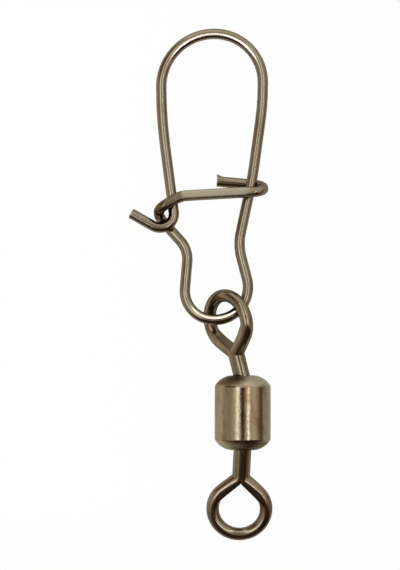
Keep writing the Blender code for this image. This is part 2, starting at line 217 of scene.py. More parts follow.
# %% [markdown]
# The barrel is turned and its ends are then rolled in over the heads of the eyes. That leaves a slight
# crease where each rounded shoulder starts, and a small mouth. The profile is an arc through the crease
# and the lip, a second arc inside it a wall's thickness away, and small rounds on the mouth's edges. It
# is closed, so the inside of the tube is real too.

# %% The barrel's profile
BARREL_STRAIGHT = 5.0 * MM
SHOULDER_RADIUS = 1.95 * MM
MOUTH_CLEARANCE = 0.09 * MM
MOUTH_EDGE_RADIUS = 0.12 * MM
SHOULDER_STEPS = 16
MOUTH_EDGE_STEPS = 5
CREASE_EASE = 0.08 * MM

mouth_radius = SHANK_RADIUS / cos(MOST_LEAN) + BARREL_WALL / 2 * tan(MOST_LEAN) + MOUTH_CLEARANCE


def shoulder_profile():
    """Outer side of one end from its lip to the straight wall, and the inner side from bore to lip."""
    lip = Vector((mouth_radius + MOUTH_EDGE_RADIUS, BARREL_LENGTH / 2))
    crease = Vector((BARREL_RADIUS, BARREL_STRAIGHT / 2))
    half = (lip - crease) / 2
    height = sqrt(SHOULDER_RADIUS**2 - half.length_squared)
    centre = crease + half + Vector((-half.y, half.x)).normalized() * height
    to_lip = atan2(lip.y - centre.y, lip.x - centre.x)
    to_crease = atan2(crease.y - centre.y, crease.x - centre.x)
    outer = arc_points(centre, SHOULDER_RADIUS, to_lip, to_crease, SHOULDER_STEPS)
    inner_radius = SHOULDER_RADIUS - BARREL_WALL
    to_bore = acos((BARREL_RADIUS - BARREL_WALL - centre.x) / inner_radius)
    to_throat = acos((lip.x - centre.x) / inner_radius)
    return outer, arc_points(centre, inner_radius, to_bore, to_throat, SHOULDER_STEPS)


def mouth_profile(outer_lip, inner_lip):
    """The bore of a mouth from the inside out, with a small round on each edge."""
    low = inner_lip + Vector((0, MOUTH_EDGE_RADIUS))
    top = outer_lip - Vector((0, MOUTH_EDGE_RADIUS))
    lower_round = arc_points(low, MOUTH_EDGE_RADIUS, 1.5 * pi, pi, MOUTH_EDGE_STEPS)
    upper_round = arc_points(top, MOUTH_EDGE_RADIUS, pi, pi / 2, MOUTH_EDGE_STEPS)
    return lower_round[1:] + upper_round[:-1]


outer, inner = shoulder_profile()
below_crease = [Vector((BARREL_RADIUS, BARREL_STRAIGHT / 2 - CREASE_EASE * k)) for k in (1, 3)]
upper_end = inner + mouth_profile(outer[0], inner[-1]) + outer + below_crease
profile = upper_end + [Vector((p.x, -p.y)) for p in reversed(upper_end)]
print("profile points:", len(profile))

# %% [markdown]
# A turned piece is a profile carried round an axis, and the Screw modifier does exactly that. A cylinder
# with a Bevel modifier would give round shoulders too, but neither the bore nor the crease. The result
# is read back as a plain mesh, because the piece has to be put at its place in the frame.

# %% Turn the barrel
BARREL_SIDES = 144


def turned_mesh(points, sides):
    """Turn a closed profile about Z and weld the seam."""
    drawing = bpy.data.meshes.new("barrel_profile")
    edges = [(k, (k + 1) % len(points)) for k in range(len(points))]
    drawing.from_pydata([(p.x, 0.0, p.y) for p in points], edges, [])
    turned = bpy.data.objects.new("barrel_profile", drawing)
    bpy.context.scene.collection.objects.link(turned)
    screw = turned.modifiers.new("turning", "SCREW")
    screw.steps = sides
    screw.render_steps = sides
    screw.use_merge_vertices = True
    screw.merge_threshold = WELD
    evaluated = turned.evaluated_get(bpy.context.evaluated_depsgraph_get())
    mesh = bpy.data.meshes.new_from_object(evaluated)
    bpy.data.objects.remove(turned, do_unlink=True)
    return mesh


lay_down = Matrix.Translation((0, 0, BARREL_RADIUS)) @ Matrix.Rotation(-pi / 2, 4, "X")
barrel_piece = add_piece("turned_barrel", turned_mesh(profile, BARREL_SIDES), lay_down, "barrel", "barrel")

# %% [markdown]
# An eye is one wire, bent in a plane: up one leg, out at the neck, round the loop and back down the
# other leg. The two legs are pressed together into a shank that is a little wider than it is thick.
# The neck's place isn't a size of its own. It follows from the loop, the reach and the flare of the
# legs, so the wire stays tangent when one of them changes.

# %% The eye's centre line
EYE_LOOP_RADIUS = 2.54 * MM
EYE_REACH = 5.81 * MM
EYE_FLARE = radians(46.0)
EYE_SIDE_RADIUS = 2.3 * MM
EYE_BEND_RADIUS = 0.62 * MM
EYE_STEP = 0.1 * MM
LEG_MIDDLE = 4 * SHANK_RADIUS / (3 * pi)

eye_side = EYE_REACH - EYE_SIDE_RADIUS * tan(EYE_FLARE / 2)
eye_neck = eye_side - (EYE_LOOP_RADIUS - LEG_MIDDLE) / tan(EYE_FLARE)


def mirrored(point):
    return Vector((-point.x, point.y, point.z))


def eye_centre_line():
    """Wire of an eye in its own plane: up one pressed leg, round the loop and down the other."""
    right = [
        (Vector((LEG_MIDDLE, eye_neck, 0)), EYE_BEND_RADIUS),
        (Vector((EYE_LOOP_RADIUS, eye_side, 0)), EYE_SIDE_RADIUS),
        (Vector((EYE_LOOP_RADIUS, EYE_REACH + EYE_LOOP_RADIUS, 0)), EYE_LOOP_RADIUS),
    ]
    left = [(mirrored(corner), radius) for corner, radius in reversed(right)]
    foot = Vector((LEG_MIDDLE, 0, 0))
    return in_steps(bent_wire(foot, right + left, mirrored(foot)), EYE_STEP)


print("wire of an eye, mm:", round(distances(eye_centre_line())[-1], 1))

# %% [markdown]
# Each pressed leg has a D section, and the bare wire is round. Both sections have the same number of
# points and start at the same place, so one can pass smoothly into the other. The edges along the slit
# are rounded, as pressing leaves them, and they catch a fine line of light. The slit is finer here than
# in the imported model, where it keeps the two legs of one solid safely apart.

# %% Sections of a leg and of the bare wire
LEG_GAP = 0.006 * MM
LEG_EDGE_RADIUS = 0.14 * MM
LEG_ARC_STEPS = 16
LEG_CORNER_STEPS = 4
SLIT_POINTS = (0.5, 0.0, -0.5)


def half_round(radius):
    """Section of one leg: a half disc with rounded edges, measured from the slit between the legs."""
    corner = Vector((LEG_GAP / 2 + LEG_EDGE_RADIUS, 0))
    corner.y = sqrt((radius - LEG_EDGE_RADIUS) ** 2 - corner.x**2)
    lower_corner = Vector((corner.x, -corner.y))
    to_corner = atan2(corner.y, corner.x)
    outside = arc_points(Vector((0, 0)), radius, -to_corner, to_corner, LEG_ARC_STEPS)
    upper = arc_points(corner, LEG_EDGE_RADIUS, to_corner, pi, LEG_CORNER_STEPS)
    lower = arc_points(lower_corner, LEG_EDGE_RADIUS, pi, 2 * pi - to_corner, LEG_CORNER_STEPS)
    slit = [Vector((LEG_GAP / 2, corner.y * share)) for share in SLIT_POINTS]
    return outside + upper[1:] + slit + lower[:-1]


def full_round(radius, count, first):
    """Round section with a number of points, starting at an angle."""
    angles = [first + 2 * pi * k / count for k in range(count)]
    return [Vector((radius * cos(a), radius * sin(a))) for a in angles]


leg_section = [Vector((p.x - LEG_MIDDLE, p.y * SHANK_FLATNESS)) for p in half_round(SHANK_RADIUS)]
bare_section = full_round(EYE_RADIUS, len(leg_section), -pi * LEG_ARC_STEPS / len(leg_section))
print("points round the wire of an eye:", len(leg_section))

# %% [markdown]
# Where the legs part, the press leaves no sharp gap between them but a filled crotch. The inner side of
# each leg is therefore pushed out to a limit, which is zero up to the crotch and then widens with the
# flare. A Boolean union of two wires could fill the crotch as well, but it would make one solid of
# them and leave a hard seam.

# %% The rings of an eye
EYE_FORMED_LENGTH = 1.7 * MM
UP = Vector((0, 0, 1))

past_shank = (EYE_RADIUS * cos(EYE_FLARE) - LEG_MIDDLE) / sin(EYE_FLARE)
crotch = eye_neck + EYE_RADIUS * sin(EYE_FLARE) + past_shank * cos(EYE_FLARE)
eye_bend_start = eye_neck - EYE_BEND_RADIUS * tan(EYE_FLARE / 2)


def fill_crotch(point, inward):
    """Press a point on the inner side of a leg out to the crotch's sides, as the die does."""
    limit = LEG_GAP / 2 + max(0.0, point.y - crotch) * tan(EYE_FLARE)
    if inward <= 0 or abs(point.x) <= limit:
        return point
    share = smooth_step(inward / LEG_MIDDLE)
    return point.lerp(Vector((limit if point.x > 0 else -limit, point.y, point.z)), share)


def wire_rings():
    """Rings along the wire with their places on the straight wire, pressed at both ends."""
    line = eye_centre_line()
    along = distances(line)
    pairs = []
    for k, point in enumerate(line):
        way = way_at(line, k)
        out = Vector((way.y, -way.x, 0))
        share = smooth_step((point.y - eye_bend_start) / EYE_FORMED_LENGTH)
        section = [pressed.lerp(bare, share) for pressed, bare in zip(leg_section, bare_section)]
        ring = [fill_crotch(point + out * p.x + UP * p.y, -p.x) for p in section]
        pairs.append((ring, [Vector((p.x / MM, p.y / MM, along[k])) for p in bare_section]))
    return pairs


print("rings of an eye:", len(wire_rings()))

# %% [markdown]
# The free ends are headed into a button that the barrel traps, half of it on each leg. Going in from the
# shank there is a cone, a rim and a domed back. The rings of the left half are those of the right half,
# mirrored and in reverse, so the whole eye is one loft from end to end.

# %% Loft a whole eye
HEAD_RADIUS = 1.25 * MM
HEAD_SEAT = 0.4 * MM
HEAD_CONE = 0.65 * MM
HEAD_RIM = 0.25 * MM
HEAD_DOME = 0.55 * MM
HEAD_STEPS = 6


def head_stations():
    """Heights from the barrel's face, negative inside it, and the headed shank's radius at each."""
    seat = -BARREL_WALL - HEAD_SEAT
    rim = seat - HEAD_CONE
    back = rim - HEAD_RIM
    angles = [pi / 2 * k / (HEAD_STEPS + 1) for k in range(HEAD_STEPS, 0, -1)]
    dome = [(back - HEAD_DOME * sin(a), HEAD_RADIUS - HEAD_DOME * (1 - cos(a))) for a in angles]
    return dome + [(back, HEAD_RADIUS), (rim, HEAD_RADIUS), (seat, SHANK_RADIUS)]


def head_rings(side, reached):
    """Rings of one half of the head, from its free end to the shank, with places on the straight wire."""
    pairs = []
    for height, radius in head_stations():
        flatness = 1.0 if radius > SHANK_RADIUS else SHANK_FLATNESS
        section = half_round(radius)
        ring = [Vector((side * p.x, height, p.y * flatness)) for p in section]
        place = reached + side * height / MM
        pairs.append((ring, [Vector((p.x / MM, p.y / MM, place)) for p in section]))
    return pairs


def make_eye(name, place, body):
    """One wire: half a head, a pressed leg, the loop, the other leg and the other half of the head."""
    whole = distances(eye_centre_line())[-1]
    pairs = head_rings(1, 0.0) + wire_rings() + head_rings(-1, whole)[::-1]
    rings = [ring for ring, straight in pairs]
    straight = [straight for ring, straight in pairs]
    return add_piece(name, wire_mesh(name, rings, straight, {}), place, body, body)


print("rings in half a head:", len(head_stations()))

# %% [markdown]
# The eyes are loose in the mouths. The upper one leans to the left and has turned about its shank, so
# the snap's wire passes over its far side and under its near side. The lower one droops until the far
# side of its loop touches the floor. The same angles as in the model place them. Turning them by hand
# until they look right would work once, but not after a size changes.

# %% Place the eyes
UPPER_EYE_LEAN = radians(14.0)
UPPER_EYE_TURN = radians(48.5)
UPPER_EYE_PUSHED_IN = 0.58 * MM
LOWER_EYE_LEAN = radians(2.8)

mouth_height = (BARREL_LENGTH - BARREL_WALL) / 2
upper_aim = Matrix.Rotation(UPPER_EYE_LEAN, 4, "Z") @ Matrix.Rotation(-UPPER_EYE_TURN, 4, "Y")
upper_slide = Matrix.Translation((0, BARREL_WALL / 2 - UPPER_EYE_PUSHED_IN, 0))
upper_place = Matrix.Translation((0, mouth_height, BARREL_RADIUS)) @ upper_aim @ upper_slide
droop = asin((BARREL_RADIUS - EYE_RADIUS) / (BARREL_WALL / 2 + EYE_REACH + EYE_LOOP_RADIUS))
lower_aim = Matrix.Rotation(pi - LOWER_EYE_LEAN, 4, "Z") @ Matrix.Rotation(-droop, 4, "X")
lower_slide = Matrix.Translation((0, BARREL_WALL / 2, 0))
lower_place = Matrix.Translation((0, -mouth_height, BARREL_RADIUS)) @ lower_aim @ lower_slide

upper_eye_piece = make_eye("snap_side_eye", upper_place, "upper_eye")
lower_eye_piece = make_eye("line_side_eye", lower_place, "lower_eye")

# %% [markdown]
# The snap is one length of hard spring wire. From its tail it hooks round the crossbar's curl, runs up
# the left leg, round the big loop and down the right leg, through the eye, and back up into the curl.
# The crossbar then passes over both legs, turns down round the right one and ends in a short return.
# Its corners are given in the flat it was bent in, with heights above and below that flat where it
# crosses itself. Fifteen corners are enough, where a traced outline would need hundreds of points.

# %% The snap's corners
LOOP_RADIUS = 4.82 * MM
LOOP_LEAN = 0.23 * MM
LOOP_MIDDLE = -0.2 * MM
LOOP_TOP = 27.25 * MM
LEFT_LEG_BEND = Vector((-5.01, 19.3)) * MM
LEFT_LEG_BEND_RADIUS = 42.0 * MM
RIGHT_LEG_BENDS = (Vector((4.63, 20.64)) * MM, Vector((3.65, 13.57)) * MM)
RIGHT_LEG_BEND_RADII = (24.0 * MM, 28.0 * MM)
HOOK_CORNER = Vector((-3.48, 7.58)) * MM
HOOK_RADIUS = 1.33 * MM
TAIL_TIP = Vector((-7.87, 10.07)) * MM
TAIL_RISE = 0.29 * MM
RIGHT_WAIST = Vector((2.27, 7.09)) * MM
RIGHT_WAIST_RADIUS = 5.1 * MM
LEFT_WAIST = Vector((-2.45, 6.7)) * MM
LEFT_WAIST_RADIUS = 2.74 * MM
BOTTOM_LEFT = Vector((-3.02, 0.0)) * MM
BOTTOM_LEFT_RADIUS = 2.77 * MM
BOTTOM_RIGHT = Vector((4.11, 0.0)) * MM
BOTTOM_RIGHT_RADIUS = 3.12 * MM
CURL_LOW = Vector((-5.23, 9.82)) * MM
CURL_HIGH = Vector((-5.2, 10.47)) * MM
CURL_RADIUS = 0.95 * MM
BAR_START = Vector((-3.2, 11.63)) * MM
BAR_START_RADIUS = 2.84 * MM
BAR_END = Vector((4.62, 12.08)) * MM
RETURN_START = Vector((4.67, 12.86)) * MM
RETURN_END = Vector((0.27, 13.26)) * MM
U_BEND_RADIUS = 1.04 * MM
CROSSING_GAP = 0.095 * MM
BAR_DEPTH = SNAP_WIRE + CROSSING_GAP


def in_flat(point, height=0.0):
    """A point of the snap's flat, raised above it by a height."""
    return Vector((point.x, point.y, height))


snap_corners = [
    (in_flat(HOOK_CORNER, TAIL_RISE / 2), HOOK_RADIUS),
    (in_flat(LEFT_LEG_BEND), LEFT_LEG_BEND_RADIUS),
    (Vector((LOOP_MIDDLE - LOOP_RADIUS, LOOP_TOP, 0)), LOOP_RADIUS + LOOP_LEAN),
    (Vector((LOOP_MIDDLE + LOOP_RADIUS, LOOP_TOP, 0)), LOOP_RADIUS - LOOP_LEAN),
    (in_flat(RIGHT_LEG_BENDS[0]), RIGHT_LEG_BEND_RADII[0]),
    (in_flat(RIGHT_LEG_BENDS[1]), RIGHT_LEG_BEND_RADII[1]),
    (in_flat(RIGHT_WAIST), RIGHT_WAIST_RADIUS),
    (in_flat(BOTTOM_RIGHT), BOTTOM_RIGHT_RADIUS),
    (in_flat(BOTTOM_LEFT), BOTTOM_LEFT_RADIUS),
    (in_flat(LEFT_WAIST, -BAR_DEPTH / 2), LEFT_WAIST_RADIUS),
    (in_flat(CURL_LOW, -BAR_DEPTH), CURL_RADIUS),
    (in_flat(CURL_HIGH, BAR_DEPTH), CURL_RADIUS),
    (in_flat(BAR_START, BAR_DEPTH), BAR_START_RADIUS),
    (in_flat(BAR_END, BAR_DEPTH), U_BEND_RADIUS),
    (in_flat(RETURN_START, -BAR_DEPTH), U_BEND_RADIUS),
]
snap_line = bent_wire(in_flat(TAIL_TIP, TAIL_RISE), snap_corners, in_flat(RETURN_END, -BAR_DEPTH))
print("snap wire, mm:", round(distances(snap_line)[-1], 1))

# %% [markdown]
# The crossbar was pressed between plates after bending. Its section goes over from a circle to a
# squarish oval and back, which catches the light as one broad grey face. The formula of that oval is a
# circle with a higher power, so one number sets how square it is. Scaling the wire flat would be
# simpler, but the sides would stay round.

# %% The pressed crossbar
BAR_PRESSED_THICKNESS = 0.88 * MM
BAR_PRESSED_WIDTH = 0.98 * MM
BAR_PRESSED_FROM = -4.9 * MM
BAR_PRESSED_TO = 3.9 * MM
BAR_PRESS_FADE = 1.2 * MM
BAR_SQUARENESS = 3.0
BAR_ROLL = radians(13.0)


def pressed_share(point):
    """How far the wire is pressed at a point of its centre line, from 0 to 1."""
    if point.z < BAR_DEPTH / 2:
        return 0.0
    return smooth_step(min(point.x - BAR_PRESSED_FROM, BAR_PRESSED_TO - point.x) / BAR_PRESS_FADE)


def pressed_spot(offset, across):
    """A point of the round section, moved onto the pressed section."""
    roll = Matrix.Rotation(BAR_ROLL, 3, "X")
    level = roll @ Vector((0, offset.dot(across), offset.z)) / SNAP_RADIUS
    swell = (abs(level.y) ** BAR_SQUARENESS + abs(level.z) ** BAR_SQUARENESS) ** (-1 / BAR_SQUARENESS)
    section = Vector((0, level.y * BAR_PRESSED_WIDTH, level.z * BAR_PRESSED_THICKNESS)) * swell / 2
    section.rotate(roll.inverted())
    along = offset - across * offset.dot(across)
    return Vector((along.x, along.y, section.z)) + across * section.y


print("the crossbar is pressed to", round(BAR_PRESSED_THICKNESS / MM, 2), "mm")

# %% [markdown]
# The tail and the return were sheared off. A shear leaves a slightly rounded edge all round, and on the
# return it also dragged up a small burr. Extra rings close to each end carry both. A Bevel modifier
# would round the edge too, but it can't make the burr.

# %% The sheared ends
END_ROUND = 0.06 * MM
END_RINGS = (0.0, 0.35, 1.0)
BURR_HEIGHT = 0.2 * MM
BURR_REACH = 0.06 * MM
BURR_SHARPNESS = 5
BURR_LENGTH = 0.6 * MM


def with_end_points(line):
    """The line with more points close to its start, where the cut edge is round."""
    way = (line[1] - line[0]).normalized()
    return [line[0] + way * END_ROUND * share for share in END_RINGS] + line[1:]


def end_size(from_end):
    """Size of the ring at a distance from the cut face: a quarter round over the last bit of wire."""
    left = max(0.0, 1 - from_end / END_ROUND)
    return 1 - END_ROUND / SNAP_RADIUS * (1 - sqrt(1 - left**2))


def burr(offset, from_end):
    """How far a point near the return's end was dragged by the shear."""
    share = max(0.0, offset.y / SNAP_RADIUS) ** BURR_SHARPNESS * smooth_step(1 - from_end / BURR_LENGTH)
    return Vector((-BURR_REACH, BURR_HEIGHT, 0)) * share


print("the burr stands", round(BURR_HEIGHT / MM, 2), "mm proud")

# %% [markdown]
# Rings are now set along the snap's line. The ring's own axes are carried from point to point by the
# smallest turn, so the wire never twists. Aiming each ring by the world's up direction would be easier,
# but it flips where the wire runs straight up through the curl. Each ring also gets three marks, which
# say how pressed it is, how much painted shade darkens it and how dull the wire is there.

# %% Draw the snap
SNAP_SIDES = 32
SNAP_STEP = 0.15 * MM
# The curl and the start of the crossbar are painted dark brown as shade, up to here
CURL_SHADE_TO = -2.85 * MM
CURL_SHADE_FADE = 0.35 * MM
TAIL_DULL = 7.0 * MM


def snap_rings(line):
    """Rings along the snap, and the places of their points on the straight wire."""
    along = distances(line)
    section = full_round(SNAP_RADIUS, SNAP_SIDES, 0.0)
    side = UP
    way = way_at(line, 0)
    rings = []
    straight = []
    for k, point in enumerate(line):
        side = way.rotation_difference(way_at(line, k)) @ side
        way = way_at(line, k)
        to_end = (along[-1] - along[k]) * MM
        size = end_size(min(along[k] * MM, to_end))
        offsets = [(side * p.x + way.cross(side) * p.y) * size for p in section]
        share = pressed_share(point)
        if share > 0:
            across = Vector((-way.y, way.x, 0)).normalized()
            offsets = [offset.lerp(pressed_spot(offset, across), share) for offset in offsets]
        rings.append([point + offset + burr(offset, to_end) for offset in offsets])
        straight.append([Vector((p.x / MM, p.y / MM, along[k])) for p in section])
    return rings, straight


fine_line = with_end_points(in_steps(snap_line, SNAP_STEP))
fine_line = with_end_points(fine_line[::-1])[::-1]
rings, straight = snap_rings(fine_line)
snap_along = distances(fine_line)


def along_at(choose):
    """Length of wire up to where the snap reaches furthest, towards the barrel by min or away by max."""
    return snap_along[choose(range(len(fine_line)), key=lambda k: fine_line[k].y)]


link_at = along_at(min)


def curl_shade_share(point, along):
    """How far painted shade darkens the wire, from the curl to the start of the crossbar's pale face."""
    if along < link_at or point.y < CURL_LOW.y - CURL_RADIUS:
        return 0.0
    return smooth_step((CURL_SHADE_TO - point.x) / CURL_SHADE_FADE) * smooth_step(point.z / BAR_DEPTH + 1)


def dulled_share(point, along):
    """How dull the wire is: the raised crossbar and curl, and the tail."""
    return max(smooth_step(point.z / BAR_DEPTH), smooth_step(1 - along * MM / TAIL_DULL))


marks = {
    "pressed": [pressed_share(point) for point in fine_line],
    "curl_shade": [curl_shade_share(*spot) for spot in zip(fine_line, snap_along)],
    "dulled": [dulled_share(*spot) for spot in zip(fine_line, snap_along)],
}
snap_mesh = wire_mesh("snap_wire", rings, straight, marks)
print("rings along the snap:", len(rings))

# %% [markdown]
# The snap hangs in the upper eye by its bottom bend. It lies with the far end of its loop and the end of
# its return on the floor, so it tilts by the depth of that return. A simulated drop could find the rest
# too, but it is slow for so thin a wire, and the snap would end a little beside its node.

# %% Place the snap
LINK_ROUND_BEND = radians(18.0)
LINK_SIDE = -0.29 * MM
LINK_ALONG = 0.355 * MM

bottom_bend = in_flat(RIGHT_WAIST), in_flat(BOTTOM_RIGHT), in_flat(BOTTOM_LEFT)
lowest = round_corner(*bottom_bend, BOTTOM_RIGHT_RADIUS)[-1]
round_bend = Vector((sin(LINK_ROUND_BEND), 1 - cos(LINK_ROUND_BEND), 0)) * BOTTOM_RIGHT_RADIUS
link = lowest + round_bend
tilt = atan(BAR_DEPTH / (LOOP_TOP - RETURN_END.y))
eye_middle = upper_place @ Vector((0, EYE_REACH, 0))
link_height = SNAP_RADIUS + (LOOP_TOP - link.y) * sin(tilt)
link_spot = Vector((eye_middle.x + LINK_SIDE, eye_middle.y + LINK_ALONG, link_height))
snap_place = Matrix.Translation(link_spot) @ Matrix.Rotation(-tilt, 4, "X") @ Matrix.Translation(-link)
snap_piece = add_piece("spring_snap", snap_mesh, snap_place, "snap", "snap")

# %% [markdown]
# The finishes come next. They share a few effects, and each is a node group with named sockets, so that
# one group serves every metal with other values. These helpers keep the groups short to write.

# %% Helpers for shader nodes
NUMBER = "NodeSocketFloat"
COLOUR = "NodeSocketColor"
VECTOR = "NodeSocketVector"


def fill_inputs(tree, node, inputs):
    """Set a node's inputs, each to a value or to the socket that feeds it."""
    for name, value in inputs.items():
        if isinstance(value, bpy.types.NodeSocket):
            tree.links.new(value, node.inputs[name])
        else:
            node.inputs[name].default_value = value


def add_node(tree, kind, inputs, **settings):
    """A node with its settings and inputs."""
    made = tree.nodes.new(kind)
    for name, value in settings.items():
        setattr(made, name, value)
    fill_inputs(tree, made, inputs)
    return made


def new_group(name, inputs, outputs):
    """A shader group with named sockets; inputs are given as name, kind and value."""
    group = bpy.data.node_groups.new(name, "ShaderNodeTree")
    for socket, kind, value in inputs:
        group.interface.new_socket(socket, in_out="INPUT", socket_type=kind).default_value = value
    for socket, kind in outputs:
        group.interface.new_socket(socket, in_out="OUTPUT", socket_type=kind)
    return group, group.nodes.new("NodeGroupInput").outputs, group.nodes.new("NodeGroupOutput").inputs


def place_group(tree, group, inputs):
    """A group put in a material with its own values; gives its outputs."""
    return add_node(tree, "ShaderNodeGroup", inputs, node_tree=group).outputs


print("helpers for groups ready")

# %% [markdown]
# Most of a material is arithmetic on numbers and colours. Five more helpers give it plain names: a
# calculation, a blend of two colours, an eased range, a noise and a scaled place. The noise returns one
# number for each place, and its detail adds ever smaller lumps to it. Scaling the place less along the
# metal than across it stretches whatever is drawn there.

# %% Helpers for numbers and colours
def calculate(tree, operation, first, second=0.0):
    return add_node(tree, "ShaderNodeMath", {0: first, 1: second}, operation=operation).outputs[0]


def blend_colours(tree, share, first, second, way="MIX"):
    """The second colour over the first, by a share."""
    sockets = {0: share, 6: first, 7: second}
    return add_node(tree, "ShaderNodeMix", sockets, data_type="RGBA", blend_type=way).outputs[2]


def in_range(tree, value, low, high, to_low=0.0, to_high=1.0):
    """A value's place between low and high, eased, as a value between two others."""
    sockets = {"Value": value, "From Min": low, "From Max": high, "To Min": to_low, "To Max": to_high}
    return add_node(tree, "ShaderNodeMapRange", sockets, interpolation_type="SMOOTHSTEP").outputs[0]


def noise(tree, place, scale, detail, roughness):
    sockets = {"Vector": place, "Scale": scale, "Detail": detail, "Roughness": roughness}
    return add_node(tree, "ShaderNodeTexNoise", sockets).outputs[0]


def scaled_place(tree, place, across, along):
    """A place with its two crosswise parts scaled alike and its lengthwise part by another value."""
    scale = add_node(tree, "ShaderNodeCombineXYZ", {0: across, 1: across, 2: along}).outputs[0]
    return add_node(tree, "ShaderNodeVectorMath", {0: place, 1: scale}, operation="MULTIPLY").outputs[0]


print("helpers for numbers and colours ready")

# %% [markdown]
# Wire is pulled through a die, and the die leaves fine lines along it. Noise squeezed across the wire
# and stretched along it looks just like them. Because it reads the place on the straight wire, the lines
# follow every bend. A wave texture could draw lines too, but they would be too even. A noise stays
# close to its middle value, so the streaks are picked out between two values near it.

# %% Group for drawing lines
STREAKS_BETWEEN = (0.38, 0.68)

group, given, result = new_group(
    "drawing_lines",
    [("Place", VECTOR, (0, 0, 0)), ("Lines per mm", NUMBER, 6.0), ("Stretch", NUMBER, 0.1)],
    [("Height", NUMBER), ("Streaks", NUMBER)],
)
lines_along = calculate(group, "MULTIPLY", given["Lines per mm"], given["Stretch"])
drawn_place = scaled_place(group, given["Place"], given["Lines per mm"], lines_along)
lines = noise(group, drawn_place, scale=1.0, detail=5.0, roughness=0.6)
group.links.new(lines, result["Height"])
group.links.new(in_range(group, lines, *STREAKS_BETWEEN), result["Streaks"])
drawing_lines = group
print("group:", drawing_lines.name)

# %% [markdown]
# Dark nickel is a thin warm grey plating, here over brass and spring steel. It isn't even: it has
# brownish patches where it is thin, and a fine mottle. The patches are longer along the metal than across
# it, as the drawing left them. The group returns the colour and the masks of both, so a material can also
# make the patches rougher and give the mottle some depth.

# %% Group for dark nickel plating
PATCH_STRETCH = 0.65
PATCHES_BETWEEN = (0.44, 0.64)
GRAINS_BETWEEN = (0.35, 0.7)

group, given, result = new_group(
    "dark_nickel",
    [
        ("Place", VECTOR, (0, 0, 0)),
        ("Plating", COLOUR, (0.3, 0.25, 0.18, 1)),
        ("Thin Plating", COLOUR, (0.22, 0.14, 0.08, 1)),
        ("Patches per mm", NUMBER, 0.5),
        ("Patches", NUMBER, 0.6),
        ("Grains per mm", NUMBER, 7.0),
        ("Mottle", NUMBER, 0.3),
    ],
    [("Colour", COLOUR), ("Thin", NUMBER), ("Mottle", NUMBER)],
)
patches_along = calculate(group, "MULTIPLY", given["Patches per mm"], PATCH_STRETCH)
patch_place = scaled_place(group, given["Place"], given["Patches per mm"], patches_along)
patch_noise = noise(group, patch_place, scale=1.0, detail=4.0, roughness=0.55)
patches = in_range(group, patch_noise, *PATCHES_BETWEEN)
thin = calculate(group, "MULTIPLY", patches, given["Patches"])
grain_noise = noise(group, given["Place"], given["Grains per mm"], detail=4.0, roughness=0.7)
grains = in_range(group, grain_noise, *GRAINS_BETWEEN)
mottle = calculate(group, "MULTIPLY", grains, given["Mottle"])
plated = blend_colours(group, thin, given["Plating"], given["Thin Plating"])
group.links.new(blend_colours(group, mottle, plated, given["Thin Plating"]), result["Colour"])
group.links.new(thin, result["Thin"])
group.links.new(mottle, result["Mottle"])
dark_nickel = group
print("group:", dark_nickel.name)

# %% [markdown]
# Tumbling and handling leave small dents and scuffs. Cells of a Voronoi texture give round dents, and a
# random number for each cell keeps only some of them, which a plain noise can't do.

# %% Group for dents
DENT_REACH = 0.32

group, given, result = new_group(
    "small_dents",
    [("Place", VECTOR, (0, 0, 0)), ("Dents per mm", NUMBER, 1.5), ("Kept", NUMBER, 0.3)],
    [("Height", NUMBER)],
)
cells = add_node(group, "ShaderNodeTexVoronoi", {"Vector": given["Place"], "Scale": given["Dents per mm"]})
hollow = in_range(group, cells.outputs["Distance"], 0.0, DENT_REACH, -1.0, 0.0)
chosen = add_node(group, "ShaderNodeSeparateColor", {0: cells.outputs["Color"]}).outputs[0]
kept = calculate(group, "LESS_THAN", chosen, given["Kept"])
group.links.new(calculate(group, "MULTIPLY", hollow, kept), result["Height"])
small_dents = group
print("group:", small_dents.name)

# %% [markdown]
# No drawn metal is truly even: it has low lumps, each a part of a millimetre across. They are far too
# low to show in an outline, yet they give the long reflections their ragged edges. A displaced mesh
# would need a great many faces for them, so they go into the bump.

# %% Group for low lumps
group, given, result = new_group(
    "low_lumps",
    [("Place", VECTOR, (0, 0, 0)), ("Lumps per mm", NUMBER, 2.2), ("Stretch", NUMBER, 0.5)],
    [("Height", NUMBER)],
)
lumps_along = calculate(group, "MULTIPLY", given["Lumps per mm"], given["Stretch"])
lump_place = scaled_place(group, given["Place"], given["Lumps per mm"], lumps_along)
group.links.new(noise(group, lump_place, scale=1.0, detail=3.0, roughness=0.5), result["Height"])
low_lumps = group
print("group:", low_lumps.name)

# %% [markdown]
# A painted highlight: a line of pale colour along the top of the wire, on the loop's crown and on the
# link, stands in for a bright reflection there. The place on the straight wire says both how far round
# the wire and how far along it a point is, so the line is a mask of two ranges. Paint on an image could
# do it too, but it wouldn't follow the wire when a size changes.

# %% Group for a painted highlight line
HIGHLIGHT_LINE_CORE = 0.6

group, given, result = new_group(
    "painted_highlight_line",
    [("Place", VECTOR, (0, 0, 0)), ("Middle", NUMBER, 0.0), ("Reach", NUMBER, 8.0),
     ("Side", NUMBER, 0.07), ("Width", NUMBER, 0.12), ("Share", NUMBER, 0.0)],
    [("Mask", NUMBER)],
)
parts = add_node(group, "ShaderNodeSeparateXYZ", {0: given["Place"]}).outputs
from_middle = calculate(group, "ABSOLUTE", calculate(group, "SUBTRACT", parts["Z"], given["Middle"]))
from_side = calculate(group, "ABSOLUTE", calculate(group, "SUBTRACT", parts["Y"], given["Side"]))
core_reach = calculate(group, "MULTIPLY", given["Reach"], HIGHLIGHT_LINE_CORE)
core_width = calculate(group, "MULTIPLY", given["Width"], HIGHLIGHT_LINE_CORE)
lengthwise = in_range(group, from_middle, core_reach, given["Reach"], 1.0, 0.0)
crosswise = in_range(group, from_side, core_width, given["Width"], 1.0, 0.0)
# Only the upper side of the wire gets the painted highlight
above = calculate(group, "GREATER_THAN", parts["X"], 0.0)
mask = calculate(group, "MULTIPLY", calculate(group, "MULTIPLY", lengthwise, crosswise), above)
